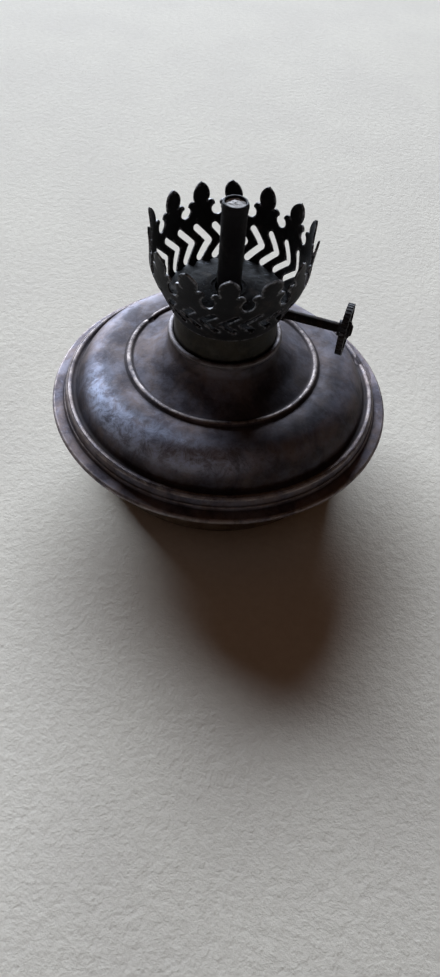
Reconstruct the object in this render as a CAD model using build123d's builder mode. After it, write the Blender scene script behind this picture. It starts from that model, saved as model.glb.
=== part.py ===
"""Paraffin lamp for a toy magic lantern: a pressed brass font with a small round-wick burner.

Millimetres, +Z up. The origin is the centre of the base, on the surface the lamp stands on.
The winder spindle runs along +X. Every finished piece is one STEP file.
"""

import os
from math import cos, radians, sin, tan

from build123d import *

# Font: two pressed shells and a soldered neck collar
RIM_RADIUS = 38.0
SHEET = 0.45
RIM_TOP = 16.75
HEM_FOLD = 1.5 * SHEET
BAND_RADIUS = 35.3
BOWL_CORNER_RADIUS = 5.5
BOWL_WALL_RADIUS = 31.2
BASE_RECESS = 1.0
COLLAR_SHEET = 0.35
COLLAR_BORE_RADIUS = 11.0
COLLAR_TOP = 34.75
COLLAR_FOOT = 30.75
COLLAR_SEAT_RADIUS = 9.7
LIP_WIDTH = 1.2
LIP_DROP = 0.95
NECK_TOP = 33.95

# Burner: drum, deck, base plate, wick tube and gallery
BURNER_SHEET = 0.35
DRUM_RADIUS = 10.85
DRUM_FOOT = 31.1
DRUM_TOP = 43.35
PLATE_FLOOR = 31.4
PLATE_THICKNESS = 0.5
VENT_COUNT = 6
VENT_RADIUS = 0.9
VENT_CIRCLE = 7.6
TUBE_RADIUS = 2.4
TUBE_WALL = 0.35
TUBE_FOOT = 29.6
TUBE_TOP = 64.0
DECK_CROWN = 45.2
DECK_EDGE_RADIUS = 12.2
DECK_BORE_RADIUS = 2.8

# Gallery crown
GALLERY_FOOT = 40.45
GALLERY_BAND = 0.15
GALLERY_RADIUS = 15.95
GALLERY_SHOULDER = 51.9
GALLERY_TIP = 59.3
FINIALS = 14
CHEVRONS = 23
CHEVRON_AT = 162.7
CHEVRON_BOTTOM = 43.45
CHEVRON_TOP = 50.37
CHEVRON_REACH = 2.6
CHEVRON_STROKE = 1.35
FINIAL_AT = 106.1

# Winder: spindle, cogs, knob
SPINDLE_Y = 4.64
SPINDLE_Z = 38.7
SPINDLE_RADIUS = 1.05
BEARING_GAP = 0.06
SLEEVE_RADIUS = 1.6
SLEEVE_START = 5.0
SLEEVE_END = 11.6
COG_TIP_RADIUS = 2.5
COG_ROOT_RADIUS = 1.9
COG_TEETH = 12
COG_THICKNESS = 0.5
COG_OFFSET = 0.8
CHEEK_INNER = 3.2
CHEEK_THICKNESS = 0.6
CHEEK_RADIUS = 1.8
STOP_LENGTH = 0.7
STOP_RADIUS = 1.7
KNOB_INNER_FACE = 23.75
KNOB_THICKNESS = 1.3
KNOB_RADIUS = 5.4
KNOB_NOTCHES = 36
KNOB_NOTCH_RADIUS = 0.2
WASHER_RADIUS = 1.7
WASHER_THICKNESS = 0.4

# Wick
WICK_RADIUS = 1.9
WICK_FOOT = 8.0
WICK_TOP = 63.95

PLATE_TOP = PLATE_FLOOR + PLATE_THICKNESS
CHEEK_OUTER = CHEEK_INNER + CHEEK_THICKNESS
KNOB_OUTER_FACE = KNOB_INNER_FACE + KNOB_THICKNESS
WASHER_FACE = KNOB_OUTER_FACE + WASHER_THICKNESS
COLLAR_OUTER_RADIUS = COLLAR_BORE_RADIUS + COLLAR_SHEET
DRUM_BORE_RADIUS = DRUM_RADIUS - BURNER_SHEET


def across_spindle(x):
    """A plane at right angles to the spindle, its own origin on the spindle's axis."""
    return Plane(origin=(x, SPINDLE_Y, SPINDLE_Z), x_dir=(0, 1, 0), z_dir=(1, 0, 0))


def facing_out(angle, height):
    """An upright plane through the lamp's axis that faces outward at an angle."""
    a = radians(angle)
    return Plane(origin=(0, 0, height), x_dir=(-sin(a), cos(a), 0), z_dir=(cos(a), sin(a), 0))


# Upper shell: neck flare, small step bead, dome, rim bead, and a hem rolled under the lower flange
with BuildPart() as font_upper_shell:
    with BuildSketch(Plane.XZ):
        with BuildLine():
            FilletPolyline(
                (COLLAR_OUTER_RADIUS + SHEET, NECK_TOP),
                (COLLAR_OUTER_RADIUS + SHEET, 31.5),
                (15.4, 28.4),
                (19.7, 26.6),
                (20.55, 27.45),
                (21.4, 26.45),
                (29.3, 26.6),
                (32.75, 18.75),
                (33.75, 19.95),
                (34.75, 19.6),
                (BAND_RADIUS, RIM_TOP),
                (RIM_RADIUS, RIM_TOP),
                (RIM_RADIUS, RIM_TOP - 2 * HEM_FOLD),
                (36.2, RIM_TOP - 2 * HEM_FOLD),
                radius=[2.2, 7, 0.45, 0.65, 0.5, 9.4, 0.5, 0.8, 0.8, 0.6, 0.67, 0.67],
            )
            offset(amount=SHEET, side=Side.RIGHT)
        make_face()
    revolve(axis=Axis.Z)
font_upper_shell.part.label = "font_upper_shell"

# Lower shell: wide flange caught in the hem, straight-sided pan, raised panel inside a standing ring
FLANGE_UNDERSIDE = RIM_TOP - 2 * SHEET
with BuildPart() as font_lower_shell:
    with BuildSketch(Plane.XZ):
        with BuildLine():
            FilletPolyline(
                (RIM_RADIUS - 0.7, FLANGE_UNDERSIDE),
                (BOWL_WALL_RADIUS, FLANGE_UNDERSIDE),
                (BOWL_WALL_RADIUS - 0.8, 0),
                (22.4, 0),
                (21.4, BASE_RECESS),
                (0, BASE_RECESS),
                radius=[0.5, BOWL_CORNER_RADIUS, 0.8, 0.6],
            )
            offset(amount=SHEET, side=Side.RIGHT)
        make_face()
    revolve(axis=Axis.Z)
font_lower_shell.part.label = "font_lower_shell"

# Neck collar: seat turned in at the foot, plain bore, lip rolled out over the neck
with BuildPart() as neck_collar:
    with BuildSketch(Plane.XZ):
        with BuildLine():
            FilletPolyline(
                (COLLAR_SEAT_RADIUS, COLLAR_FOOT + COLLAR_SHEET - 0.05),
                (COLLAR_BORE_RADIUS, COLLAR_FOOT + COLLAR_SHEET - 0.05),
                (COLLAR_BORE_RADIUS, COLLAR_TOP),
                (COLLAR_BORE_RADIUS + LIP_WIDTH, COLLAR_TOP),
                (COLLAR_BORE_RADIUS + LIP_WIDTH, COLLAR_TOP - LIP_DROP),
                radius=[0.1, 0.59, 0.59],
            )
            offset(amount=COLLAR_SHEET, side=Side.RIGHT)
        make_face()
    revolve(axis=Axis.Z)
neck_collar.part.label = "neck_collar"

# Solder run into the wedge between the collar and the underside of the neck flare
with BuildPart() as collar_solder:
    with BuildSketch(Plane.XZ):
        with BuildLine():
            Polyline(
                (COLLAR_OUTER_RADIUS, 32.4),
                (COLLAR_OUTER_RADIUS, 30.9),
                (COLLAR_OUTER_RADIUS + 0.6, 30.95),
                (COLLAR_OUTER_RADIUS + 0.25, 32.4),
                close=True,
            )
        make_face()
    revolve(axis=Axis.Z)
    add(font_upper_shell.part, mode=Mode.SUBTRACT)
collar_solder.part.label = "collar_solder"

# Drum: open cylinder with one hole for the spindle sleeve
with BuildPart() as burner_drum:
    with BuildSketch(Plane.XY.offset(DRUM_FOOT)):
        Circle(DRUM_RADIUS)
        Circle(DRUM_BORE_RADIUS, mode=Mode.SUBTRACT)
    extrude(amount=DRUM_TOP - DRUM_FOOT)
    with BuildSketch(across_spindle(SLEEVE_START)):
        Circle(SLEEVE_RADIUS)
    extrude(amount=DRUM_RADIUS, mode=Mode.SUBTRACT)
burner_drum.part.label = "burner_drum"

# Spindle bracket: foot riveted to the base plate, two upright cheeks with bearing holes
RIVET_PLACES = [(-1.9, SPINDLE_Y), (1.9, SPINDLE_Y)]
RIVET_RADIUS = 0.45
with BuildPart() as spindle_bracket:
    with BuildSketch(Plane.XY.offset(PLATE_TOP)):
        with Locations((0, SPINDLE_Y + 0.25)):
            Rectangle(2 * CHEEK_OUTER, 2 * CHEEK_RADIUS - 0.5)
        with Locations(*RIVET_PLACES):
            Circle(RIVET_RADIUS, mode=Mode.SUBTRACT)
    extrude(amount=CHEEK_THICKNESS)
    for cheek_side in (-CHEEK_OUTER, CHEEK_INNER):
        with BuildSketch(across_spindle(cheek_side)):
            Circle(CHEEK_RADIUS)
            with Locations((0, (PLATE_TOP - SPINDLE_Z) / 2)):
                Rectangle(2 * CHEEK_RADIUS, SPINDLE_Z - PLATE_TOP)
            Circle(SPINDLE_RADIUS + BEARING_GAP, mode=Mode.SUBTRACT)
        extrude(amount=CHEEK_THICKNESS)
spindle_bracket.part.label = "spindle_bracket"

# Two rivets through the bracket foot and the base plate
RIVET_HEAD_RADIUS = 0.8
RIVET_HEAD_HEIGHT = 0.4
with BuildPart() as bracket_rivets:
    with BuildSketch(Plane.XY.offset(PLATE_FLOOR - RIVET_HEAD_HEIGHT)):
        with Locations(*RIVET_PLACES):
            Circle(RIVET_HEAD_RADIUS)
    extrude(amount=RIVET_HEAD_HEIGHT)
    with BuildSketch(Plane.XY.offset(PLATE_FLOOR)):
        with Locations(*RIVET_PLACES):
            Circle(RIVET_RADIUS)
    extrude(amount=PLATE_THICKNESS + CHEEK_THICKNESS)
    with BuildSketch(Plane.XY.offset(PLATE_TOP + CHEEK_THICKNESS)):
        with Locations(*RIVET_PLACES):
            Circle(RIVET_HEAD_RADIUS)
    extrude(amount=RIVET_HEAD_HEIGHT, taper=35)
bracket_rivets.part.label = "bracket_rivets"

# Base plate: closes the drum's foot, with drip and air holes
with BuildPart() as burner_base_plate:
    with BuildSketch(Plane.XY.offset(PLATE_FLOOR)):
        Circle(DRUM_BORE_RADIUS)
        Circle(TUBE_RADIUS, mode=Mode.SUBTRACT)
        with PolarLocations(VENT_CIRCLE, VENT_COUNT):
            Circle(VENT_RADIUS, mode=Mode.SUBTRACT)
        with Locations(*RIVET_PLACES):
            Circle(RIVET_RADIUS, mode=Mode.SUBTRACT)
    extrude(amount=PLATE_THICKNESS)
burner_base_plate.part.label = "burner_base_plate"

# Wick tube: plain tube with a window where the cogs reach the wick
WINDOW_WIDTH = 2.9
WINDOW_HEIGHT = 3.8
with BuildPart() as wick_tube:
    with BuildSketch(Plane.XY.offset(TUBE_FOOT)):
        Circle(TUBE_RADIUS)
        Circle(TUBE_RADIUS - TUBE_WALL, mode=Mode.SUBTRACT)
    extrude(amount=TUBE_TOP - TUBE_FOOT)
    with BuildSketch(Plane.ZX.offset(1.2)):
        with Locations((SPINDLE_Z, 0)):
            RectangleRounded(WINDOW_HEIGHT, WINDOW_WIDTH, 0.5)
    extrude(amount=TUBE_RADIUS, mode=Mode.SUBTRACT)
    fillet(edges().filter_by(GeomType.CIRCLE).group_by(Axis.Z)[-1], radius=0.12)
wick_tube.part.label = "wick_tube"

# Solder ring that holds the tube in the base plate
TUBE_SOLDER_LEG = 0.7
with BuildPart() as tube_solder:
    with BuildSketch(Plane.XZ):
        with BuildLine():
            Line((TUBE_RADIUS, PLATE_TOP), (TUBE_RADIUS + TUBE_SOLDER_LEG, PLATE_TOP))
            RadiusArc(
                (TUBE_RADIUS + TUBE_SOLDER_LEG, PLATE_TOP),
                (TUBE_RADIUS, PLATE_TOP + TUBE_SOLDER_LEG),
                TUBE_SOLDER_LEG,
            )
            Line((TUBE_RADIUS, PLATE_TOP + TUBE_SOLDER_LEG), (TUBE_RADIUS, PLATE_TOP))
        make_face()
    revolve(axis=Axis.Z)
tube_solder.part.label = "tube_solder"

# Deck cap: low dome on the drum's top edge, with an air gap round the tube
with BuildPart() as deck_cap:
    with BuildSketch(Plane.XZ):
        with BuildLine():
            FilletPolyline(
                (DECK_BORE_RADIUS, DECK_CROWN),
                (5.0, DECK_CROWN),
                (9.8, DRUM_TOP + BURNER_SHEET),
                (DECK_EDGE_RADIUS, DRUM_TOP + BURNER_SHEET),
                radius=[6, 2],
            )
            offset(amount=BURNER_SHEET, side=Side.RIGHT)
        make_face()
    revolve(axis=Axis.Z)
deck_cap.part.label = "deck_cap"

# Gallery crown: band on the drum, flared wall with chevron slots, upright finials.
# One gap cutter is the space between two finials, mirrored about the gap's own middle.
PITCH = 360 / FINIALS
HALF_GAP = GALLERY_RADIUS * tan(radians(PITCH / 2))
EAR_SIDE = 2.7
NECK_SIDE = HALF_GAP - 1.45
NECK_HEIGHT = 3.1
with BuildSketch() as gap_outline:
    with BuildLine():
        Polyline((0, 1.0), (0.55, 1.0), (0.55, EAR_SIDE))
        ThreePointArc((0.55, EAR_SIDE), (1.3, EAR_SIDE + 0.75), (NECK_SIDE, NECK_HEIGHT))
        ThreePointArc(
            (NECK_SIDE, NECK_HEIGHT),
            (HALF_GAP - 1.9, 5.0),
            (HALF_GAP, GALLERY_TIP - GALLERY_SHOULDER),
        )
        Polyline((HALF_GAP, GALLERY_TIP - GALLERY_SHOULDER), (HALF_GAP, 8), (0, 8), (0, 1.0))
    make_face()
    mirror(about=Plane.YZ)
    with Locations((0, 1.3)):
        Ellipse(1.2, 1.3)

with BuildSketch() as chevron_outline:
    with BuildLine():
        chevron_tip = (-CHEVRON_REACH / 2, 0)
        half_height = (CHEVRON_TOP - CHEVRON_BOTTOM) / 2 - CHEVRON_STROKE / 2
        Line((CHEVRON_REACH / 2, -half_height), chevron_tip)
        Line(chevron_tip, (CHEVRON_REACH / 2, half_height))
        offset(amount=CHEVRON_STROKE / 2)
    make_face()

with BuildPart() as gallery_crown:
    with BuildSketch(Plane.XZ):
        with BuildLine():
            FilletPolyline(
                (DRUM_RADIUS + BURNER_SHEET, GALLERY_FOOT),
                (DRUM_RADIUS + BURNER_SHEET, GALLERY_FOOT + GALLERY_BAND),
                (11.95, 41.7),
                (14.75, 47.9),
                (GALLERY_RADIUS, GALLERY_SHOULDER),
                (GALLERY_RADIUS, GALLERY_TIP),
                radius=[0.4, 2.5, 8, 5],
            )
            offset(amount=BURNER_SHEET, side=Side.LEFT)
        make_face()
    revolve(axis=Axis.Z)
    for index in range(FINIALS):
        with BuildSketch(facing_out(FINIAL_AT + PITCH * (index + 0.5), GALLERY_SHOULDER)):
            add(gap_outline.sketch)
    extrude(amount=GALLERY_RADIUS + 2, mode=Mode.SUBTRACT)
    for index in range(CHEVRONS):
        middle = (CHEVRON_BOTTOM + CHEVRON_TOP) / 2
        with BuildSketch(facing_out(CHEVRON_AT + index * 360 / CHEVRONS, middle)):
            add(chevron_outline.sketch)
    extrude(amount=GALLERY_RADIUS + 2, mode=Mode.SUBTRACT)
gallery_crown.part.label = "gallery_crown"

# Sleeve that carries the spindle through the drum wall
with BuildPart() as spindle_sleeve:
    with BuildSketch(across_spindle(SLEEVE_START)):
        Circle(SLEEVE_RADIUS)
        Circle(SPINDLE_RADIUS + BEARING_GAP, mode=Mode.SUBTRACT)
    extrude(amount=SLEEVE_END - SLEEVE_START)
spindle_sleeve.part.label = "spindle_sleeve"

# Spindle: plain wire shaft, its outer end riveted over the washer
SPINDLE_START = -CHEEK_OUTER - 0.2 - STOP_LENGTH
with BuildPart() as winder_spindle:
    with BuildSketch(across_spindle(SPINDLE_START)):
        Circle(SPINDLE_RADIUS)
    extrude(amount=WASHER_FACE - SPINDLE_START)
    with BuildSketch(across_spindle(WASHER_FACE)):
        Circle(SPINDLE_RADIUS + 0.35)
    extrude(amount=0.45, taper=40)
winder_spindle.part.label = "winder_spindle"

# Stops pressed on the spindle on each side of the bracket
with BuildPart() as spindle_stops:
    for stop_start in (SPINDLE_START, CHEEK_OUTER + 0.2):
        with BuildSketch(across_spindle(stop_start)):
            Circle(STOP_RADIUS)
            Circle(SPINDLE_RADIUS, mode=Mode.SUBTRACT)
        extrude(amount=STOP_LENGTH)
spindle_stops.part.label = "spindle_stops"

# Cogs: sharp teeth that push the wick, the second one half a tooth on
cogs = {}
for name, side, phase in (("spur_wheel_a", -1, 0), ("spur_wheel_b", 1, 180 / COG_TEETH)):
    with BuildPart() as spur_wheel:
        with BuildSketch(across_spindle(side * COG_OFFSET - COG_THICKNESS / 2)):
            Circle(COG_ROOT_RADIUS)
            with PolarLocations(COG_ROOT_RADIUS, COG_TEETH, start_angle=phase):
                Polygon((-0.2, -0.46), (COG_TIP_RADIUS - COG_ROOT_RADIUS, 0), (-0.2, 0.46), align=None)
            Circle(SPINDLE_RADIUS, mode=Mode.SUBTRACT)
        extrude(amount=COG_THICKNESS)
    spur_wheel.part.label = name
    cogs[name] = spur_wheel.part

# Knob: milled disc with a hub towards the lamp and a dished outer face
HUB_RADIUS = 1.65
HUB_LENGTH = 0.8
DISH_RADIUS = 4.3
DISH_DEPTH = 0.3
with BuildPart() as winder_knob:
    with BuildSketch(across_spindle(KNOB_INNER_FACE - HUB_LENGTH)):
        Circle(HUB_RADIUS)
    extrude(amount=HUB_LENGTH)
    with BuildSketch(across_spindle(KNOB_INNER_FACE)):
        Circle(KNOB_RADIUS)
        with PolarLocations(KNOB_RADIUS, KNOB_NOTCHES):
            Circle(KNOB_NOTCH_RADIUS, mode=Mode.SUBTRACT)
    extrude(amount=KNOB_THICKNESS)
    with BuildSketch(across_spindle(KNOB_OUTER_FACE - DISH_DEPTH)):
        Circle(DISH_RADIUS)
        Circle(WASHER_RADIUS + 0.3, mode=Mode.SUBTRACT)
    extrude(amount=DISH_DEPTH, mode=Mode.SUBTRACT)
    with BuildSketch(across_spindle(KNOB_INNER_FACE - HUB_LENGTH)):
        Circle(SPINDLE_RADIUS)
    extrude(amount=HUB_LENGTH + KNOB_THICKNESS, mode=Mode.SUBTRACT)
winder_knob.part.label = "winder_knob"

# Washer under the riveted end of the spindle
with BuildPart() as knob_washer:
    with BuildSketch(across_spindle(KNOB_OUTER_FACE)):
        Circle(WASHER_RADIUS)
        Circle(SPINDLE_RADIUS, mode=Mode.SUBTRACT)
    extrude(amount=WASHER_THICKNESS)
knob_washer.part.label = "knob_washer"

# Wick: round cotton wick, its tail hanging in the font
with BuildPart() as wick:
    with BuildSketch(Plane.XY.offset(WICK_FOOT)):
        Circle(WICK_RADIUS)
    extrude(amount=WICK_TOP - WICK_FOOT)
    fillet(edges().group_by(Axis.Z)[-1], radius=0.3)
wick.part.label = "wick"

PIECES = [
    font_upper_shell.part,
    font_lower_shell.part,
    neck_collar.part,
    collar_solder.part,
    burner_drum.part,
    burner_base_plate.part,
    wick_tube.part,
    tube_solder.part,
    deck_cap.part,
    gallery_crown.part,
    spindle_sleeve.part,
    spindle_bracket.part,
    bracket_rivets.part,
    winder_spindle.part,
    spindle_stops.part,
    cogs["spur_wheel_a"],
    cogs["spur_wheel_b"],
    winder_knob.part,
    knob_washer.part,
    wick.part,
]

os.makedirs("parts", exist_ok=True)
for piece in PIECES:
    export_step(piece, f"parts/{piece.label}.step")
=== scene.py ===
"""The looks of a toy magic lantern's paraffin lamp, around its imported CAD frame.

Lengths in the shape code are millimetres, turned to metres when a mesh is made. The lamp's axis is Z,
the winder leaves along +X, and the camera looks from azimuth VIEW_AZIMUTH.
"""

from math import atan2, cos, pi, radians, sin, sqrt, tan

import bmesh
import bpy
import numpy as np
from mathutils import Matrix, Vector, noise
from mathutils.geometry import delaunay_2d_cdt


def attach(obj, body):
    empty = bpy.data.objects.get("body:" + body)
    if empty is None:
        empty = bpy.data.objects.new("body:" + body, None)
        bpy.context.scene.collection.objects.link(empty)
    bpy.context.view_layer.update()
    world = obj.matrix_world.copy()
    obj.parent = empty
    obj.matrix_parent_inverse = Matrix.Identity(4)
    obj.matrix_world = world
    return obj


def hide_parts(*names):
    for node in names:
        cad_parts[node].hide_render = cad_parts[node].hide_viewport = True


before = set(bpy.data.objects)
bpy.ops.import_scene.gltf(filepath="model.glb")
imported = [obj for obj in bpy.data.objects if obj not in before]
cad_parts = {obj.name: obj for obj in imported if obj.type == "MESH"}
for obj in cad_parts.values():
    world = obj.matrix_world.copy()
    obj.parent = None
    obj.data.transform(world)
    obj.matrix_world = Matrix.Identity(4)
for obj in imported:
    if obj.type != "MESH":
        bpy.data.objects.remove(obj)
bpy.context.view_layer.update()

MM = 0.001
VIEW_AZIMUTH = 15.5
RIM_PLANE = 16.075
FONT_SHEET = 0.45
BURNER_SHEET = 0.35
TUBE_TOP = 64.0
WICK_RADIUS = 1.9
WICK_FOOT = 8.0

# ---------------------------------------------------------------- outlines


def rounded(points, radii, step=0.16, longest=0.6):
    """The path through points with each inner corner rounded, as evenly spaced samples."""
    corners = [np.array(p, float) for p in points]
    path = [corners[0]]
    for i, radius in enumerate(radii):
        before, corner, after = corners[i], corners[i + 1], corners[i + 2]
        to_before = (before - corner) / np.linalg.norm(before - corner)
        to_after = (after - corner) / np.linalg.norm(after - corner)
        half = np.arccos(np.clip(to_before @ to_after, -1, 1)) / 2
        reach = radius / tan(half)
        middle = (to_before + to_after) / np.linalg.norm(to_before + to_after)
        centre = corner + middle * radius / sin(half)
        first = corner + to_before * reach - centre
        last = corner + to_after * reach - centre
        sweep = np.arccos(np.clip(first @ last / radius**2, -1, 1))
        turn = np.sign(first[0] * last[1] - first[1] * last[0])
        count = max(3, int(radius * sweep / step) + 1)
        for k in range(count + 1):
            a = turn * sweep * k / count
            turned = (first[0] * cos(a) - first[1] * sin(a), first[0] * sin(a) + first[1] * cos(a))
            path.append(centre + turned)
    path.append(corners[-1])
    dense = [path[0]]
    for point in path[1:]:
        gap = np.linalg.norm(point - dense[-1])
        if gap < 1e-6:
            continue
        parts = int(gap / longest) + 1
        start = dense[-1]
        dense.extend(start + (point - start) * k / parts for k in range(1, parts + 1))
    return np.array(dense)


def side_normals(path):
    """Unit normals on the left of a path's direction."""
    along = np.gradient(path, axis=0)
    along /= np.linalg.norm(along, axis=1)[:, None]
    return np.column_stack([-along[:, 1], along[:, 0]])


def sheet_loop(path, thickness, side):
    """The closed section of a sheet: path, then its offset to the given side, back to the start."""
    inner = path + side_normals(path) * thickness * side
    return np.vstack([path, inner[::-1]])


def bend(loop):
    """Signed curvature of a closed loop, positive where the section stands out."""
    ahead = np.roll(loop, -1, axis=0) - loop
    behind = loop - np.roll(loop, 1, axis=0)
    turn = np.arctan2(
        behind[:, 0] * ahead[:, 1] - behind[:, 1] * ahead[:, 0], (behind * ahead).sum(axis=1)
    )
    length = (np.linalg.norm(ahead, axis=1) + np.linalg.norm(behind, axis=1)) / 2
    x, y = loop[:, 0], loop[:, 1]
    turning = np.sign((x * np.roll(y, -1) - y * np.roll(x, -1)).sum())
    return turning * turn / np.maximum(length, 1e-6)


def smooth_step(value, low, high):
    t = np.clip((np.asarray(value) - low) / (high - low), 0, 1)
    return t * t * (3 - 2 * t)


# ---------------------------------------------------------------- meshes


def make_object(name, vertices, faces):
    """A mesh object from points in millimetres."""
    mesh = bpy.data.meshes.new(name)
    mesh.from_pydata([tuple(v) for v in np.asarray(vertices) * MM], [], [tuple(f) for f in faces])
    mesh.validate()
    mesh.polygons.foreach_set("use_smooth", [True] * len(mesh.polygons))
    mesh.update()
    piece = bpy.data.objects.new(name, mesh)
    bpy.context.scene.collection.objects.link(piece)
    return piece


def set_attribute(piece, name, values):
    layer = piece.data.attributes.new(name, "FLOAT", "POINT")
    layer.data.foreach_set("value", np.asarray(values, np.float32))


def lathe(name, loop, segments, push=None):
    """Turns a closed section about Z. push(angle, r, z) gives a point's move along its normal."""
    count = len(loop)
    normals = side_normals(np.vstack([loop[-1:], loop, loop[:1]]))[1:-1]
    area = np.cross(loop, np.roll(loop, -1, axis=0)).sum()
    normals *= -np.sign(area)
    curve = bend(loop)
    vertices = []
    for s in range(segments):
        angle = 2 * pi * s / segments
        for (r, z), (nr, nz) in zip(loop, normals):
            move = push(angle, r, z) if push else 0.0
            radius = max(r + nr * move, 0.0)
            vertices.append((radius * cos(angle), radius * sin(angle), z + nz * move))
    faces = []
    outward = area > 0
    for s in range(segments):
        near, far = s * count, (s + 1) % segments * count
        for k in range(count):
            up = (k + 1) % count
            quad = (near + k, near + up, far + up, far + k)
            faces.append(quad if outward else quad[::-1])
    piece = make_object(name, vertices, faces)
    set_attribute(piece, "wear", np.tile(smooth_step(curve, 0.3, 1.2), segments))
    # Darker where the section is concave: painted crease shade.
    set_attribute(piece, "crease_shade", np.tile(smooth_step(-curve, 0.2, 1.2), segments))
    return piece


def soften(piece):
    """Merges doubled points, as on the axis, and makes the faces look outward."""
    mesh = bmesh.new()
    mesh.from_mesh(piece.data)
    bmesh.ops.remove_doubles(mesh, verts=mesh.verts, dist=2e-6)
    bmesh.ops.recalc_face_normals(mesh, faces=mesh.faces)
    mesh.to_mesh(piece.data)
    mesh.free()
    return piece


def lumps(angle, r, z, size, seed):
    """Smooth noise over the surface, about -1 to 1, with features of that size."""
    place = Vector((r * cos(angle), r * sin(angle), z))
    return noise.noise(place / size + Vector((seed, seed * 2.3, -seed)))


def dent(angle, r, z, at, width, depth):
    """A round dent at (angle in degrees, r, z)."""
    turn, radius, height = radians(at[0]), at[1], at[2]
    across = r * cos(angle) - radius * cos(turn)
    along = r * sin(angle) - radius * sin(turn)
    gap = sqrt(across**2 + along**2 + (z - height) ** 2)
    return -depth * float(smooth_step(1 - gap / width, 0, 1))


# ---------------------------------------------------------------- materials


class Look:
    """A material under construction: short calls for the nodes that every material here uses."""

    def __init__(self, name):
        self.material = bpy.data.materials.new(name)
        self.material.use_nodes = True
        self.tree = self.material.node_tree
        self.shader = next(n for n in self.tree.nodes if n.type == "BSDF_PRINCIPLED")
        self.coords = self.tree.nodes.new("ShaderNodeTexCoord").outputs["Object"]

    def put(self, socket, value):
        if isinstance(value, bpy.types.NodeSocket):
            self.tree.links.new(value, socket)
        else:
            socket.default_value = value

    def node(self, kind, **inputs):
        made = self.tree.nodes.new(kind)
        for key, value in inputs.items():
            self.put(made.inputs[key.replace("_", " ")], value)
        return made

    def noise(self, size_mm, detail=4.0, rough=0.55, warp=0.0, coords=None):
        made = self.node(
            "ShaderNodeTexNoise",
            Vector=coords or self.coords,
            Scale=1000 / size_mm,
            Detail=detail,
            Roughness=rough,
            Distortion=warp,
        )
        return made.outputs[0]

    def cells(self, size_mm):
        made = self.node("ShaderNodeTexVoronoi", Vector=self.coords, Scale=1000 / size_mm)
        return made.outputs["Distance"]

    def stretch(self, x, y, z):
        made = self.node("ShaderNodeMapping", Vector=self.coords, Scale=(x, y, z))
        return made.outputs[0]

    def attribute(self, name):
        made = self.tree.nodes.new("ShaderNodeAttribute")
        made.attribute_name = name
        return made.outputs["Fac"]

    def span(self, value, low, high, to_low=0.0, to_high=1.0):
        made = self.node(
            "ShaderNodeMapRange",
            Value=value,
            From_Min=low,
            From_Max=high,
            To_Min=to_low,
            To_Max=to_high,
        )
        made.interpolation_type = "SMOOTHSTEP"
        return made.outputs[0]

    def math(self, operation, a, b):
        made = self.tree.nodes.new("ShaderNodeMath")
        made.operation = operation
        made.use_clamp = operation in ("ADD", "SUBTRACT")
        self.put(made.inputs[0], a)
        self.put(made.inputs[1], b)
        return made.outputs[0]

    def mix(self, factor, first, second):
        """Mixes two colours, or two numbers."""
        made = self.tree.nodes.new("ShaderNodeMix")
        colours = not isinstance(first, (int, float)) and not (
            isinstance(first, bpy.types.NodeSocket) and first.type == "VALUE"
        )
        made.data_type = "RGBA" if colours else "FLOAT"
        places = (6, 7, 2) if colours else (2, 3, 0)
        self.put(made.inputs[0], factor)
        for place, value in zip(places, (first, second)):
            self.put(made.inputs[place], (*value, 1) if isinstance(value, tuple) else value)
        return made.outputs[places[2]]

    def relief(self, height, depth_mm, strength=1.0, below=None):
        made = self.node("ShaderNodeBump", Strength=strength, Distance=depth_mm * MM, Height=height)
        if below is not None:
            self.put(made.inputs["Normal"], below)
        return made.outputs[0]

    def finish(self, colour, rough, metal, normal):
        self.put(self.shader.inputs["Base Color"], colour)
        self.put(self.shader.inputs["Roughness"], rough)
        self.put(self.shader.inputs["Metallic"], metal)
        self.put(self.shader.inputs["Normal"], normal)
        return self.material


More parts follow.
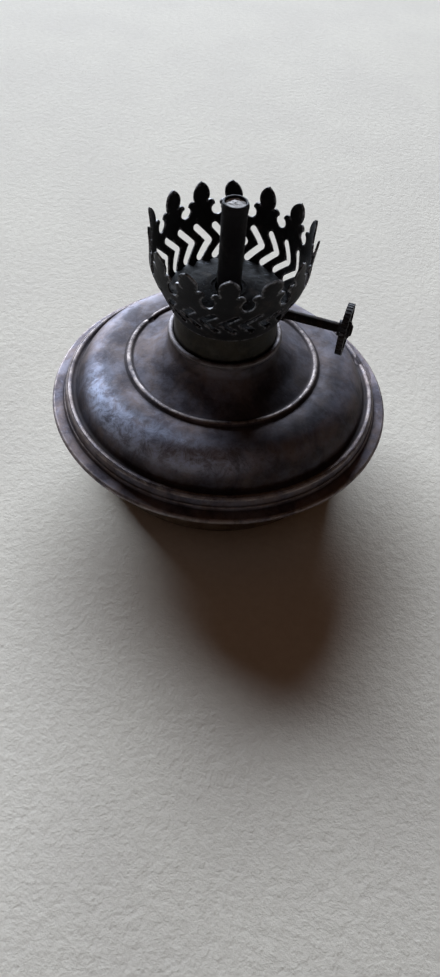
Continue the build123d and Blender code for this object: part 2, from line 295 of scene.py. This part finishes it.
def old_brass(name, dark, brown, film, bright=None, wear_gain=1.0, gloss=0.66, zoned=False):
    """Brass under a dark satin patina: brown stains, a thin grey film, worn tan crests, painted crease
    shade and pits.

    Without a bright colour the piece has no wear marks and no painted crease shade. A zoned piece also
    carries film_and_painted_sheen, a bluish film with a painted sheen on the side toward the light, and
    painted_shade, where shade is painted dark.
    """
    look = Look(name)
    stains = look.span(look.noise(9, 7, 0.66, 0.5), 0.38, 0.62)
    cloud = look.span(look.noise(5, 7, 0.68, 0.4), 0.42, 0.66)
    speck = look.span(look.noise(0.7, 7, 0.75), 0.50, 0.70)
    grain = look.noise(0.45, 4, 0.6)
    colour = look.mix(stains, dark, brown)
    colour = look.mix(look.math("MULTIPLY", cloud, 0.45), colour, film)
    rough = look.mix(cloud, gloss, gloss - 0.06)
    if zoned:
        # Bluish-white film on the dome's shoulder: partly real film, partly a painted sheen on the side
        # toward the light.
        patches = look.span(look.noise(2.6, 8, 0.78, 0.5), 0.36, 0.62, 0.2, 1.0)
        film_and_painted_sheen = look.math("MULTIPLY", look.attribute("film_and_painted_sheen"), patches)
        colour = look.mix(film_and_painted_sheen, colour, (0.58, 0.65, 0.84))
        rough = look.mix(film_and_painted_sheen, rough, 0.62)
        # Painted shade on the neck, the plateau under the burner and the dome's foot, broken up a little
        # by noise.
        patchy = look.span(look.noise(4, 6, 0.65, 0.3), 0.3, 0.7, 0.75, 1.0)
        painted_shade = look.math("MULTIPLY", look.attribute("painted_shade"), patchy)
    colour = look.mix(look.math("MULTIPLY", speck, 0.35), colour, film)
    # Paints that shade in, close to black.
    if zoned:
        colour = look.mix(painted_shade, colour, (0.010, 0.008, 0.010))
    pits = look.span(look.cells(1.6), 0.0, 0.16, 1.0, 0.0)
    colour = look.mix(look.math("MULTIPLY", pits, 0.5), colour, (0.03, 0.024, 0.022))
    scratches = look.noise(5, 3, 0.5, coords=look.stretch(1.0, 9.0, 1.0))
    fine = look.math("ADD", look.math("MULTIPLY", grain, 0.5), look.math("MULTIPLY", scratches, 0.35))
    fine = look.math("SUBTRACT", fine, look.math("MULTIPLY", pits, 0.3))
    normal = look.relief(fine, 0.06, 0.7)
    normal = look.relief(look.noise(2.2, 4, 0.6), 0.10, 0.45, normal)
    normal = look.relief(look.noise(7, 3, 0.5), 0.14, 0.35, normal)
    if bright is not None:
        breakup = look.span(look.noise(2.6, 7, 0.75), 0.36, 0.62, 0.1, 1.0)
        wear = look.math("MULTIPLY", look.attribute("wear"), breakup)
        wear = look.math("MULTIPLY", wear, wear_gain)
        # Painted shade in concave creases, which are also made rougher.
        in_creases = look.attribute("crease_shade")
        colour = look.mix(look.math("MULTIPLY", in_creases, 0.6), colour, (0.034, 0.027, 0.027))
        colour = look.mix(wear, colour, bright)
        rough = look.mix(in_creases, rough, 0.8)
        rough = look.mix(wear, rough, 0.5)
    return look.finish(colour, rough, 0.9, normal)


LOOKS = {
    "font": old_brass(
        "font_patina",
        dark=(0.072, 0.061, 0.074),
        brown=(0.19, 0.150, 0.146),
        film=(0.22, 0.225, 0.29),
        bright=(0.40, 0.345, 0.32),
        wear_gain=0.6,
        gloss=0.70,
        zoned=True,
    ),
    "bowl": old_brass(
        "bowl_patina",
        dark=(0.10, 0.075, 0.06),
        brown=(0.17, 0.12, 0.08),
        film=(0.20, 0.17, 0.14),
        bright=(0.40, 0.32, 0.25),
        wear_gain=0.5,
    ),
    "collar": old_brass(
        "collar_patina",
        dark=(0.075, 0.065, 0.065),
        brown=(0.12, 0.10, 0.095),
        film=(0.20, 0.195, 0.23),
        bright=(0.30, 0.275, 0.285),
        wear_gain=0.4,
    ),
    "drum": old_brass(
        "drum_patina",
        dark=(0.024, 0.023, 0.021),
        brown=(0.048, 0.040, 0.029),
        film=(0.065, 0.060, 0.054),
        gloss=0.62,
    ),
}


def dress(piece, look):
    piece.data.materials.clear()
    piece.data.materials.append(LOOKS[look])
    return piece


def install(piece, body, slot, look, *nodes):
    """Gives a piece its material and its body, and puts it in place of CAD nodes. The slot argument is not
    used.
    """
    dress(piece, look)
    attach(piece, body)
    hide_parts(*nodes)


def soot_look(name, black, ash, ash_share, rough, worn_lit_edges=False, scraped=False, bared=0.6):
    """Soot-blackened brass sheet: grey ash, a little brown metal coming through, and light grey cut edges,
    partly worn metal and partly painted highlight.
    """
    look = Look(name)
    dust = look.span(look.noise(1.3, 7, 0.72, 0.5), 0.62 - ash_share, 0.82 - ash_share)
    metal_shows = look.span(look.noise(3.5, 5, 0.6), 0.52, 0.72)
    colour = look.mix(look.math("MULTIPLY", metal_shows, bared), black, (0.075, 0.060, 0.052))
    colour = look.mix(look.math("MULTIPLY", dust, 0.8), colour, ash)
    crust = look.math("ADD", look.noise(0.5, 5, 0.65), look.math("MULTIPLY", look.noise(1.8, 4, 0.6), 0.8))
    normal = look.relief(crust, 0.12, 0.7)
    rough = look.mix(dust, rough, 0.85)
    if scraped:
        marks = look.noise(1.6, 6, 0.8, 1.2, coords=look.stretch(1.0, 3.5, 1.0))
        colour = look.mix(look.span(marks, 0.58, 0.68, 0.0, 0.8), colour, (0.26, 0.29, 0.37))
    if worn_lit_edges:
        # Light grey cut edges: partly worn metal, partly a painted highlight.
        worn_and_lit_breakup = look.span(look.noise(1.4, 6, 0.75), 0.42, 0.64)
        edge = look.math("MULTIPLY", look.attribute("wear"), worn_and_lit_breakup)
        colour = look.mix(edge, colour, (0.30, 0.295, 0.31))
        rough = look.mix(edge, rough, 0.45)
    return look.finish(colour, rough, look.mix(dust, 0.6, 0.1), normal)


def steel_look(name, dark, rust, bright):
    """Brown rusted iron with worn grey patches and lathe marks."""
    look = Look(name)
    rusty = look.span(look.noise(1.8, 6, 0.65, 0.3), 0.42, 0.64)
    worn = look.span(look.noise(0.9, 5, 0.6), 0.56, 0.70)
    colour = look.mix(rusty, dark, rust)
    colour = look.mix(look.math("MULTIPLY", worn, 0.7), colour, bright)
    rings = look.noise(0.5, 4, 0.6, coords=look.stretch(6.0, 1.0, 1.0))
    normal = look.relief(look.math("ADD", rings, look.noise(0.35, 4, 0.6)), 0.05, 0.5)
    look.put(look.shader.inputs["Specular IOR Level"], 0.15)
    return look.finish(colour, look.mix(rusty, 0.66, 0.82), look.mix(rusty, 0.6, 0.25), normal)


def solder_look():
    look = Look("soft_solder")
    tarnish = look.span(look.noise(1.4, 5, 0.6), 0.4, 0.65)
    colour = look.mix(tarnish, (0.30, 0.29, 0.28), (0.14, 0.13, 0.12))
    normal = look.relief(look.noise(0.8, 4, 0.6), 0.12, 0.6)
    return look.finish(colour, look.mix(tarnish, 0.42, 0.65), 0.8, normal)


def wick_look():
    """Old cotton: off-white yarn with darker grey stains."""
    look = Look("wick_cotton")
    yarn = look.noise(0.35, 5, 0.65, coords=look.stretch(1.0, 1.0, 0.35))
    stain = look.span(look.noise(1.1, 5, 0.6), 0.40, 0.66)
    colour = look.mix(stain, (0.46, 0.44, 0.43), (0.27, 0.25, 0.24))
    colour = look.mix(look.span(yarn, 0.45, 0.7), colour, (0.56, 0.54, 0.53))
    normal = look.relief(yarn, 0.12, 0.8)
    look.put(look.shader.inputs["Sheen Weight"], 0.3)
    look.put(look.shader.inputs["Sheen Roughness"], 0.5)
    return look.finish(colour, 0.95, 0.0, normal)


def floor_look():
    """Pale warm grey paper with a soft pressed texture and faint fibres."""
    look = Look("floor_paper")
    tone = look.span(look.noise(38, 4, 0.55), 0.35, 0.65)
    colour = look.mix(tone, (0.66, 0.61, 0.53), (0.70, 0.65, 0.56))
    mottled = look.span(look.noise(1.9, 5, 0.6), 0.35, 0.68)
    colour = look.mix(look.math("MULTIPLY", mottled, 0.45), colour, (0.60, 0.55, 0.47))
    grit = look.span(look.noise(0.6, 4, 0.7), 0.62, 0.74)
    colour = look.mix(look.math("MULTIPLY", grit, 0.35), colour, (0.50, 0.46, 0.39))
    normal = look.relief(look.noise(1.9, 6, 0.68), 0.5, 0.42)
    normal = look.relief(look.noise(0.7, 3, 0.6), 0.15, 0.45, normal)
    return look.finish(colour, 0.92, 0.0, normal)


LOOKS["gallery"] = soot_look(
    "gallery_soot",
    black=(0.010, 0.010, 0.012),
    ash=(0.080, 0.080, 0.092),
    ash_share=0.03,
    rough=0.66,
    worn_lit_edges=True,
    bared=0.35,
)
LOOKS["deck"] = soot_look(
    "deck_ash",
    black=(0.006, 0.0065, 0.008),
    ash=(0.060, 0.066, 0.080),
    ash_share=0.07,
    rough=0.80,
    scraped=True,
)
LOOKS["tube"] = soot_look(
    "tube_soot",
    black=(0.011, 0.010, 0.013),
    ash=(0.045, 0.042, 0.047),
    ash_share=0.02,
    rough=0.66,
    bared=0.15,
)
LOOKS["spindle"] = steel_look(
    "winder_steel",
    dark=(0.012, 0.010, 0.010),
    rust=(0.024, 0.015, 0.012),
    bright=(0.045, 0.042, 0.042),
)
LOOKS["knob"] = steel_look(
    "knob_iron",
    dark=(0.040, 0.041, 0.046),
    rust=(0.04, 0.032, 0.030),
    bright=(0.16, 0.165, 0.18),
)
LOOKS["solder"] = solder_look()
LOOKS["wick"] = wick_look()
LOOKS["floor"] = floor_look()

# ---------------------------------------------------------------- the font

# Each dent's place (angle in degrees, radius, height), width and depth
DENTS = [
    ((163, 20.3, 27.0), 2.6, 0.35),
    ((-152, 28.5, 25.0), 7.0, 0.35),
    ((35, 37.0, 16.5), 9.0, 0.5),
    ((-60, 27.0, 25.8), 9.0, 0.25),
    ((100, 26.0, 25.9), 8.0, 0.25),
]


def font_push(angle, r, z):
    """Hand-made unevenness of the upper shell, always inward at the rim."""
    move = 0.07 * lumps(angle, r, z, 16, 3.1) + 0.03 * lumps(angle, r, z, 4.5, 7.7)
    move += sum(dent(angle, r, z, at, width, depth) for at, width, depth in DENTS)
    near_rim = float(smooth_step(r, 36.0, 37.6))
    return move * (1 - near_rim) - near_rim * 0.05 * (1 + lumps(angle, r, z, 7, 1.9))


def mark_zones(piece):
    """Marks the dome's shoulder for its bluish film with a painted sheen, strongest at the left toward the
    light, and marks painted shade on the neck, the plateau and the dome's foot.
    """
    place = np.empty(3 * len(piece.data.vertices))
    piece.data.vertices.foreach_get("co", place)
    x, y, _ = place.reshape(-1, 3).T / MM
    r, angle = np.hypot(x, y), np.arctan2(y, x)
    # The shoulder's bluish film, partly real and partly a painted sheen, strongest on the left toward the
    # light.
    near_left = smooth_step(np.cos(angle - radians(256)), 0.5, 0.95)
    drop = r - 1.3 * near_left
    shoulder = smooth_step(r, 23.5, 27.0) * (1 - smooth_step(drop, 28.6, 30.6))
    edge = smooth_step(r, 27.4, 28.6)
    set_attribute(piece, "film_and_painted_sheen", shoulder * (0.10 + (0.52 + 0.36 * edge) * near_left))
    # Painted shade: the neck and plateau under the burner, less at the front and more at the front right,
    # plus the dome's foot.
    neck = 0.45 + 0.15 * smooth_step(r, 14.5, 17)
    front = smooth_step(np.cos(angle - radians(284)), 0.75, 0.97)
    front_right = smooth_step(np.cos(angle - radians(334)), 0.6, 0.95)
    flat = (neck - 0.34 * front + 0.25 * front_right) * (1 - smooth_step(r, 25.5, 28.0 - 0.8 * near_left))
    foot = 0.58 * smooth_step(drop, 29.4, 31.2) * (1 - smooth_step(r, 32.6, 33.3))
    set_attribute(piece, "painted_shade", flat + foot)


def build_upper_shell():
    path = rounded(
        [
            (11.8, 33.95),
            (11.8, 31.5),
            (15.4, 28.4),
            (19.7, 26.6),
            (20.55, 27.45),
            (21.4, 26.45),
            (29.3, 26.6),
            (32.75, 18.75),
            (33.75, 19.95),
            (34.75, 19.6),
            (34.9, 17.75),
            (35.25, 17.55),
            (35.45, 16.75),
            (38.0, 16.75),
            (38.0, 15.4),
            (36.2, 15.4),
        ],
        [2.2, 7, 0.45, 0.65, 0.5, 9.4, 0.5, 0.8, 0.8, 0.2, 0.2, 0.3, 0.67, 0.67],
    )
    piece = lathe("font_top", sheet_loop(path, FONT_SHEET, -1), 288, font_push)
    mark_zones(piece)
    install(piece, "font", "font_brass", "font", "font_upper_shell")


def build_lower_shell():
    path = rounded(
        [(37.3, 15.85), (31.2, 15.85), (30.4, 0.0), (22.4, 0.0), (21.4, 1.0), (0.0, 1.0)],
        [0.5, 5.5, 0.8, 0.6],
        step=0.4,
        longest=1.2,
    )
    piece = lathe("font_bowl", sheet_loop(path, FONT_SHEET, -1), 192)
    soften(piece)
    install(piece, "font", "font_brass", "bowl", "font_lower_shell")


def build_collar():
    path = rounded(
        [(9.7, 31.05), (11.0, 31.05), (11.0, 34.75), (12.2, 34.75), (12.2, 33.8)],
        [0.1, 0.59, 0.59],
        step=0.08,
        longest=0.4,
    )
    piece = lathe("collar", sheet_loop(path, BURNER_SHEET, -1), 192)
    install(piece, "font", "collar_brass", "collar", "neck_collar")


build_upper_shell()
build_lower_shell()
build_collar()

# ---------------------------------------------------------------- the gallery crown

FINIALS, FINIAL_AT = 14, 106.1
CHEVRONS, CHEVRON_AT = 23, 162.7
CROWN_FOOT, SHOULDER, FINIAL_HEIGHT, CROWN_RADIUS = 40.45, 51.9, 7.4, 15.95
UNROLL = 14.5
CHEVRON_MIDDLE = 46.91
GAP_WIDTH, GAP_HEIGHT, SLIT = 1.2, 1.3, 0.55
EAR_SIDE = 2.7
FINIAL_PITCH = 2 * pi / FINIALS
# Each finial's lean outward, its sway anticlockwise (both in mm at the tip) and its twist
BENT = [
    (0.3, 0.8, 0.05),
    (0.2, 0.1, -0.10),
    (0.3, -0.3, 0.12),
    (0.9, 0.5, -0.20),
    (0.2, -0.4, 0.10),
    (0.6, 0.3, -0.08),
    (1.2, 0.2, 0.08),
    (0.7, 0.1, -0.04),
    (1.3, 0.4, 0.10),
    (0.3, -0.3, -0.12),
    (0.5, 0.4, 0.10),
    (0.5, 0.0, 0.16),
    (0.2, -0.8, -0.12),
    (0.2, 0.3, 0.06),
]


def arc_through(start, middle, end, count):
    """Points on the circle arc from start through middle to end."""
    (ax, ay), (bx, by), (cx, cy) = start, middle, end
    d = 2 * (ax * (by - cy) + bx * (cy - ay) + cx * (ay - by))
    sa, sb, sc = ax * ax + ay * ay, bx * bx + by * by, cx * cx + cy * cy
    ux = (sa * (by - cy) + sb * (cy - ay) + sc * (ay - by)) / d
    uy = (sa * (cx - bx) + sb * (ax - cx) + sc * (bx - ax)) / d
    first = atan2(ay - uy, ax - ux)
    last = atan2(cy - uy, cx - ux)
    inner = atan2(by - uy, bx - ux)
    turn = (last - first) % (2 * pi)
    if (inner - first) % (2 * pi) > turn:
        turn -= 2 * pi
    radius = sqrt((ax - ux) ** 2 + (ay - uy) ** 2)
    angles = [first + turn * k / count for k in range(count + 1)]
    return [(ux + radius * cos(a), uy + radius * sin(a)) for a in angles]


def gap_half():
    """Right half of the gap between two finials: an oval foot, a narrow slit, an ear and a lobe."""
    half = CROWN_RADIUS * tan(pi / FINIALS)
    top = GAP_HEIGHT * sqrt(1 - (SLIT / GAP_WIDTH) ** 2)
    turn = atan2(top, SLIT * GAP_HEIGHT / GAP_WIDTH)
    angles = np.linspace(0, pi / 2 + turn, 14)
    oval = [(GAP_WIDTH * sin(a), GAP_HEIGHT - GAP_HEIGHT * cos(a)) for a in angles]
    neck = (half - 1.45, 3.1)
    ear = arc_through((SLIT, EAR_SIDE), (1.3, EAR_SIDE + 0.75), neck, 10)
    lobe = arc_through(neck, (half - 1.9, 5.0), (half, FINIAL_HEIGHT), 16)
    return oval + ear + lobe[1:]


def chevron_loop():
    """One chevron slot, pointing clockwise, with round ends and a round outer corner."""
    reach, rise, half = 1.3, 2.785, 0.675
    length = sqrt((2 * reach) ** 2 + rise**2)
    nx, nz = rise / length * half, 2 * reach / length * half
    lean = atan2(nz, nx)

    def round_end(x, z, start, stop, count):
        return [(x + half * cos(a), z + half * sin(a)) for a in np.linspace(start, stop, count)]

    loop = [(-reach + half / cos(lean), 0), (reach + nx, rise - nz)]
    loop += round_end(reach, rise, -lean, pi - lean, 9)[1:]
    loop += [(-reach - half * cos(a), half * sin(a)) for a in np.linspace(lean, -lean, 9)]
    loop += round_end(reach, -rise, pi + lean, 2 * pi + lean, 9)
    return loop


def inside(loop, u, z):
    """Even-odd test of points against a closed outline."""
    a, b = np.asarray(loop), np.roll(loop, -1, axis=0)
    crossed = np.zeros(len(u), bool)
    for (ua, za), (ub, zb) in zip(a, b):
        span = (za > z) != (zb > z)
        at = ua + (z - za) / (zb - za + 1e-12) * (ub - ua)
        crossed ^= span & (u < at)
    return crossed


CROWN_PATH = rounded(
    [
        (11.2, CROWN_FOOT),
        (11.2, 40.6),
        (11.95, 41.7),
        (14.75, 47.9),
        (CROWN_RADIUS, SHOULDER),
        (CROWN_RADIUS, SHOULDER + FINIAL_HEIGHT),
    ],
    [0.4, 2.5, 8, 5],
)


def crown_radius(z):
    return np.interp(z, CROWN_PATH[:, 1], CROWN_PATH[:, 0])


def bent_crown(angle, z):
    """Where a point of the rolled strip ends up: radius and angle, with its dents and bent finials."""
    radius = crown_radius(z)
    toward_viewer = smooth_step(np.cos(angle - radians(VIEW_AZIMUTH - 90)), 0.1, 1.0)
    radius = radius + 0.95 * toward_viewer * smooth_step(z, 45.5, 52.5)
    radius = radius + 0.012 * toward_viewer * np.maximum(z - 52.5, 0) ** 2
    height = np.maximum(z - SHOULDER - 0.6, 0) / (FINIAL_HEIGHT - 0.6)
    place = (angle - radians(FINIAL_AT)) / FINIAL_PITCH
    nearest = np.round(place)
    beside = (place - nearest) * FINIAL_PITCH * CROWN_RADIUS
    lean, sway, twist = np.array(BENT)[nearest.astype(int) % FINIALS].T
    curl = height**1.6
    radius = radius + lean * curl + twist * beside * height - 0.05 * beside**2 * height
    shift = sway * curl
    lumpy = np.array([noise.noise(Vector((cos(a) * 2.2, sin(a) * 2.2, h / 7))) for a, h in zip(angle, z)])
    radius = radius + 0.22 * lumpy * smooth_step(z, 43, 48)
    return radius, angle + shift / CROWN_RADIUS


def crown_edge():
    """The strip's upper edge, one gap after another round the crown."""
    half = gap_half()
    gap = [(-x, h) for x, h in half[::-1]] + half[1:]
    start = radians(FINIAL_AT) % FINIAL_PITCH
    edge = []
    for i in range(-1, FINIALS + 1):
        centre = (i + 0.5) * FINIAL_PITCH + start
        edge += [(UNROLL * (centre + np.arcsin(x / CROWN_RADIUS)), SHOULDER + h) for x, h in gap[:-1]]
    return edge


def crown_slots():
    slots = []
    start = radians(CHEVRON_AT) % (2 * pi / CHEVRONS)
    for i in range(-1, CHEVRONS + 1):
        centre = i * 2 * pi / CHEVRONS + start
        loop = []
        for x, h in chevron_loop():
            z = CHEVRON_MIDDLE + h
            loop.append((UNROLL * (centre + np.arcsin(x / crown_radius(z))), z))
        slots.append(loop)
    return slots


def cut_strip(edge, slots):
    """The flat strip as points and triangles, cut to its upper edge and pierced by its slots."""
    length = 2 * pi * UNROLL
    points, edges = [], []

    def add_loop(loop, closed):
        fine = []
        pairs = zip(loop, loop[1:] + loop[:1] if closed else loop[1:])
        for (ua, za), (ub, zb) in pairs:
            parts = max(1, int(sqrt((ub - ua) ** 2 + (zb - za) ** 2) / 0.3))
            fine += [(ua + (ub - ua) * k / parts, za + (zb - za) * k / parts) for k in range(parts)]
        if not closed:
            fine.append(loop[-1])
        first = len(points)
        points.extend(fine)
        edges.extend((first + k, first + k + 1) for k in range(len(fine) - 1))
        if closed:
            edges.append((first + len(fine) - 1, first))

    add_loop(edge, False)
    for loop in slots:
        add_loop(loop, True)
    rows = np.linspace(CROWN_FOOT, SHOULDER + FINIAL_HEIGHT + 0.6, 38)
    add_loop([(0, rows[0]), (0, rows[-1])], False)
    add_loop([(length, rows[0]), (length, rows[-1])], False)
    add_loop([(0, rows[0]), (length, rows[0])], False)
    outline = np.array(points)
    columns = np.linspace(0, length, 181)[1:-1]
    for row, z in enumerate(rows[1:-1]):
        for u in columns + (0.12 if row % 2 else -0.12):
            if ((outline[:, 0] - u) ** 2 + (outline[:, 1] - z) ** 2).min() > 0.03:
                points.append((u, z))
    flat, _, triangles, *_ = delaunay_2d_cdt([Vector(p) for p in points], edges, [], 0, 1e-5)
    flat = np.array([tuple(p) for p in flat])
    triangles = np.array(triangles)
    middle = flat[triangles].mean(axis=1)
    region = edge + [(edge[-1][0], CROWN_FOOT), (edge[0][0], CROWN_FOOT)]
    keep = inside(region, middle[:, 0], middle[:, 1]) & (middle[:, 0] > 0) & (middle[:, 0] < length)
    for loop in slots:
        keep &= ~inside(loop, middle[:, 0], middle[:, 1])
    triangles = triangles[keep]
    used = np.unique(triangles)
    renumber = np.full(len(flat), -1)
    renumber[used] = np.arange(len(used))
    return flat[used], renumber[triangles]


def build_crown():
    """The pierced crown: the cut strip is rolled up on the flared section and given thickness."""
    flat, triangles = cut_strip(crown_edge(), crown_slots())
    radius, angle = bent_crown(flat[:, 0] / UNROLL, flat[:, 1])
    vertices = np.column_stack([radius * np.cos(angle), radius * np.sin(angle), flat[:, 1]])
    piece = make_object("crown", vertices, triangles)
    mesh = bmesh.new()
    mesh.from_mesh(piece.data)
    bmesh.ops.remove_doubles(mesh, verts=mesh.verts, dist=4e-6)
    bmesh.ops.recalc_face_normals(mesh, faces=mesh.faces)
    largest = max(mesh.faces, key=lambda f: f.calc_area())
    if largest.normal.dot(largest.calc_center_median() * Vector((1, 1, 0))) < 0:
        bmesh.ops.reverse_faces(mesh, faces=mesh.faces)
    rim = {v.index for v in mesh.verts if any(e.is_boundary for e in v.link_edges)}
    mark = mesh.verts.layers.float.new("wear")
    for v in mesh.verts:
        v[mark] = 1.0 if v.index in rim else 0.0
    bmesh.ops.solidify(mesh, geom=mesh.faces[:], thickness=BURNER_SHEET * MM)
    bmesh.ops.recalc_face_normals(mesh, faces=mesh.faces)
    mesh.to_mesh(piece.data)
    mesh.free()
    piece.data.set_sharp_from_angle(angle=radians(50))
    install(piece, "burner", "gallery_brass", "gallery", "gallery_crown")


# ---------------------------------------------------------------- deck, tube and wick


def deck_push(angle, r, z):
    """Shallow radial pleats that fade toward the tube, and knocks."""
    pleats = 0.04 * sin(26 * angle + 1.5 * lumps(angle, r, z, 6, 2.2)) * float(smooth_step(r, 4.5, 8.5))
    return pleats + 0.10 * lumps(angle, r, z, 3.2, 5.1) * float(smooth_step(r, 2.9, 4.0))


def build_deck():
    path = rounded(
        [(2.8, 45.2), (3.3, 45.2), (3.6, 45.45), (4.0, 45.2), (5.2, 45.15), (9.8, 43.7), (12.2, 43.7)],
        [0.15, 0.15, 0.15, 4, 2],
        step=0.1,
        longest=0.3,
    )
    piece = lathe("deck", sheet_loop(path, BURNER_SHEET, -1), 312, deck_push)
    install(piece, "burner", "deck_brass", "deck", "deck_cap")


def crust_push(angle, r, z):
    """Soot crust on the tube: fine rings, lumps and a thickened, ragged mouth."""
    rings = 0.045 * sin(z * 2 * pi / 0.95 + 0.8 * lumps(angle, r, z, 4, 4.4))
    mouth = 1 + 1.2 * float(smooth_step(z, 62.0, 63.4)) * float(smooth_step(r, 2.2, 2.4))
    return max(rings + 0.07 * mouth * lumps(angle, r, z, 0.8, 6.6) + 0.04, 0.0)


def build_crust():
    """The soot that covers the tube above the deck; the tube itself stays the CAD node."""
    mouth = TUBE_TOP - 0.14
    outer = rounded(
        [(2.42, 46.4), (2.43, 55.0), (2.48, 62.2), (2.56, 63.4), (2.38, mouth), (2.14, 63.75)],
        [3, 4, 0.3, 0.1],
    )
    inner = [(2.07, 63.5), (2.07, 63.1), (2.12, 62.9), (2.30, 62.7), (2.30, 46.6)]
    piece = lathe("tube_crust", np.vstack([outer, inner]), 96, crust_push)
    dress(piece, "tube")
    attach(piece, "burner")


def wick_push(angle, r, z):
    """A round braid: two crossing families of strands, and a frayed, ashy end."""
    first = abs(sin(4 * angle + z * 1.5))
    second = abs(sin(4 * angle - z * 1.5))
    braid = 0.16 * max(first, second) - 0.17
    side = float(smooth_step(r, 1.2, 1.75))
    frayed = float(smooth_step(z, 62.6, 63.1))
    return braid * side * (1 - frayed) + frayed * (0.12 * lumps(angle, r, z, 0.5, 8.8) - 0.09)


def build_wick():
    path = [(0.0, WICK_FOOT), (WICK_RADIUS - 0.15, WICK_FOOT), (WICK_RADIUS, WICK_FOOT + 0.2)]
    path += [(WICK_RADIUS, z) for z in np.linspace(WICK_FOOT + 0.4, 62.6, 396)]
    path += [(1.99, 63.1), (1.99, 63.4)]
    path += [(r, 63.62 + 0.2 * (1 - r / 1.95)) for r in np.linspace(1.95, 0.0, 24)]
    piece = lathe("braided_wick", np.array(path), 72, wick_push)
    soften(piece)
    install(piece, "wick_body", "wick_cotton", "wick", "wick")


build_crown()
build_deck()
build_crust()
build_wick()

# ---------------------------------------------------------------- CAD nodes that stay, with their finish

for node_name, look_name in {
    "collar_solder": "solder",
    "burner_drum": "drum",
    "burner_base_plate": "drum",
    "tube_solder": "solder",
    "spindle_bracket": "drum",
    "bracket_rivets": "drum",
    "spindle_sleeve": "spindle",
    "winder_spindle": "spindle",
    "spindle_stops": "spindle",
    "spur_wheel_a": "spindle",
    "spur_wheel_b": "spindle",
    "knob_washer": "knob",
    "winder_knob": "knob",
    "wick_tube": "tube",
}.items():
    dress(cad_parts[node_name], look_name)

# ---------------------------------------------------------------- floor, light, camera


def seen_from_camera(side, elevation, distance):
    """A place as the photographer sees it: side 0 is straight behind the lamp, positive to the right."""
    turn = radians(VIEW_AZIMUTH) - radians(side)
    flat = distance * cos(radians(elevation))
    return Vector((-flat * sin(turn), flat * cos(turn), distance * sin(radians(elevation))))


def add_floor():
    half = 1600
    corners = [(-half, -half, 0), (half, -half, 0), (half, half, 0), (-half, half, 0)]
    floor = make_object("floor", corners, [(0, 1, 2, 3)])
    dress(floor, "floor")


def add_light(name, side, elevation, distance, width, height, power, colour):
    light = bpy.data.lights.new(name, "AREA")
    light.shape = "RECTANGLE"
    light.size = width
    light.size_y = height
    light.energy = power
    light.color = colour
    lamp = bpy.data.objects.new(name, light)
    lamp.location = seen_from_camera(side, elevation, distance)
    aim = Vector((0, 0, 0.02)) - lamp.location
    lamp.rotation_euler = aim.to_track_quat("-Z", "Y").to_euler()
    bpy.context.scene.collection.objects.link(lamp)


def add_room_light():
    world = bpy.data.worlds.new("room")
    world.use_nodes = True
    background = world.node_tree.nodes["Background"]
    background.inputs["Color"].default_value = (1.0, 0.42, 0.10, 1)
    background.inputs["Strength"].default_value = 0.038
    bpy.context.scene.world = world


def add_camera():
    """The fitted view: a hand-held phone, looking down at the lamp, rolled a little."""
    distance, height = 131.7 * MM, 124.7 * MM
    pitch, yaw, roll = radians(50.47), radians(0.95), radians(5.52)
    azimuth = radians(VIEW_AZIMUTH)
    place = Vector((distance * sin(azimuth), -distance * cos(azimuth), height + RIM_PLANE * MM))
    heading = azimuth - yaw
    forward = Vector((-sin(heading) * cos(pitch), cos(heading) * cos(pitch), -sin(pitch)))
    level = Vector((cos(heading), sin(heading), 0))
    upward = level.cross(forward)
    across = cos(roll) * level + sin(roll) * upward
    above = -sin(roll) * level + cos(roll) * upward
    data = bpy.data.cameras.new("camera")
    data.sensor_width = 36
    data.lens = 28.74
    data.clip_start = 0.01
    camera = bpy.data.objects.new("camera", data)
    turned = Matrix((across, above, -forward)).transposed().to_4x4()
    camera.matrix_world = Matrix.Translation(place) @ turned
    bpy.context.scene.collection.objects.link(camera)
    bpy.context.scene.camera = camera


add_floor()
add_light("window", -16, 22.5, 5.0, 5.4, 1.0, 665, (0.90, 1.0, 1.14))
add_light("ceiling", -165, 58, 1.6, 1.5, 1.2, 0.6, (0.85, 0.9, 1.05))
add_room_light()
add_camera()
bpy.context.scene.view_settings.view_transform = "Standard"
